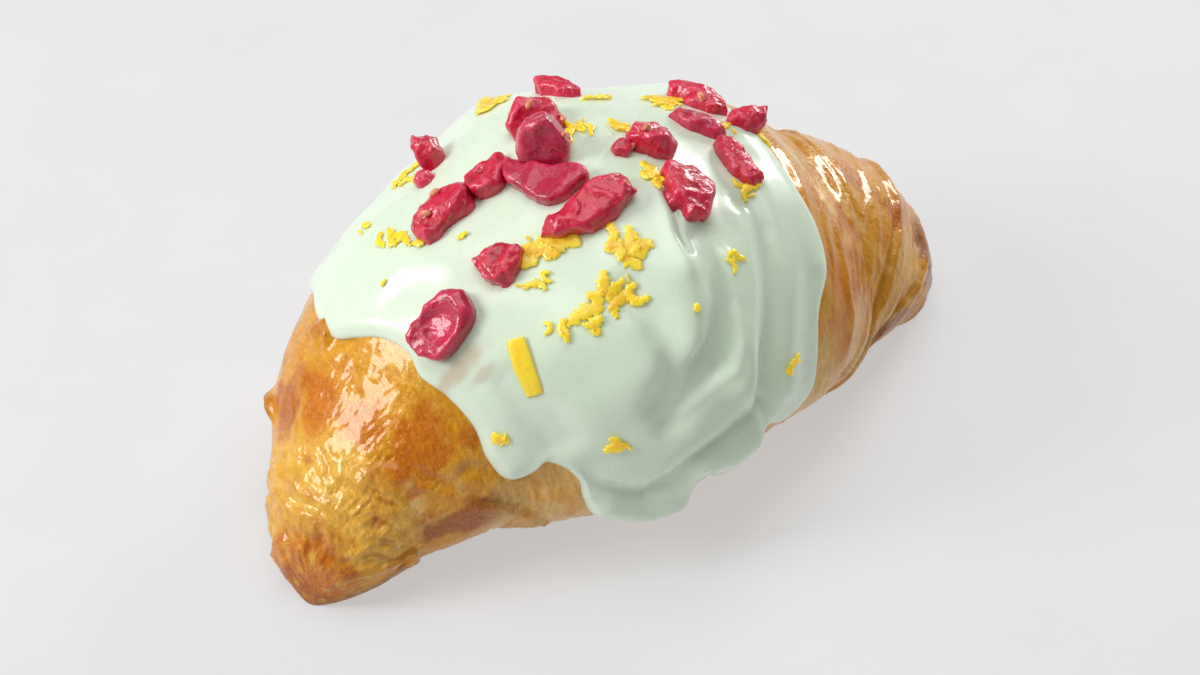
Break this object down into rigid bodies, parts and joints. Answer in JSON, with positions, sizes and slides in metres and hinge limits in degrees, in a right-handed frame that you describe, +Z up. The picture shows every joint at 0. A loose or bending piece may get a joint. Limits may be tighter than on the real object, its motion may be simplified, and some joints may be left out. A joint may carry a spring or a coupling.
{
  "type": "glazed croissant",
  "caption": "Baked crescent croissant with a pale poured glaze that drips down both sides, topped with freeze-dried raspberry pieces and shreds of lemon zest.",
  "frame": {"origin": "on the ground under the middle of the croissant", "axes": "+X from tip to tip towards the slimmer right-hand tip, -Y to the front that both tips curl towards, +Z up"},
  "size_m": [0.1522, 0.0932, 0.074],
  "materials": {
    "dough": "baked crust with an egg-wash shine, golden to deep brown",
    "glaze": "smooth opaque white-chocolate icing, slightly green, glossy",
    "raspberry": "crumpled freeze-dried fruit, slightly moist",
    "zest": "wet shredded citrus peel"
  },
  "bodies": {
    "root": {"croissant": "dough", "glaze": "glaze", "raspberry_01": "raspberry", "raspberry_02": "raspberry", "raspberry_03": "raspberry", "raspberry_04": "raspberry", "raspberry_05": "raspberry", "raspberry_06": "raspberry", "raspberry_07": "raspberry", "raspberry_08": "raspberry", "raspberry_09": "raspberry", "raspberry_10": "raspberry", "raspberry_11": "raspberry", "raspberry_12": "raspberry", "raspberry_13": "raspberry", "raspberry_14": "raspberry", "raspberry_15": "raspberry", "raspberry_16": "raspberry", "raspberry_17": "raspberry", "raspberry_18": "raspberry", "zest_01": "zest", "zest_02": "zest", "zest_03": "zest", "zest_04": "zest", "zest_05": "zest", "zest_06": "zest", "zest_07": "zest", "zest_08": "zest", "zest_09": "zest", "zest_10": "zest", "zest_11": "zest", "zest_12": "zest", "zest_13": "zest", "zest_14": "zest", "zest_15": "zest", "zest_16": "zest", "zest_17": "zest", "zest_18": "zest", "zest_19": "zest", "zest_20": "zest", "zest_21": "zest", "zest_22": "zest", "zest_23": "zest", "zest_24": "zest", "zest_25": "zest", "zest_26": "zest", "zest_27": "zest"}
  },
  "joints": []
}
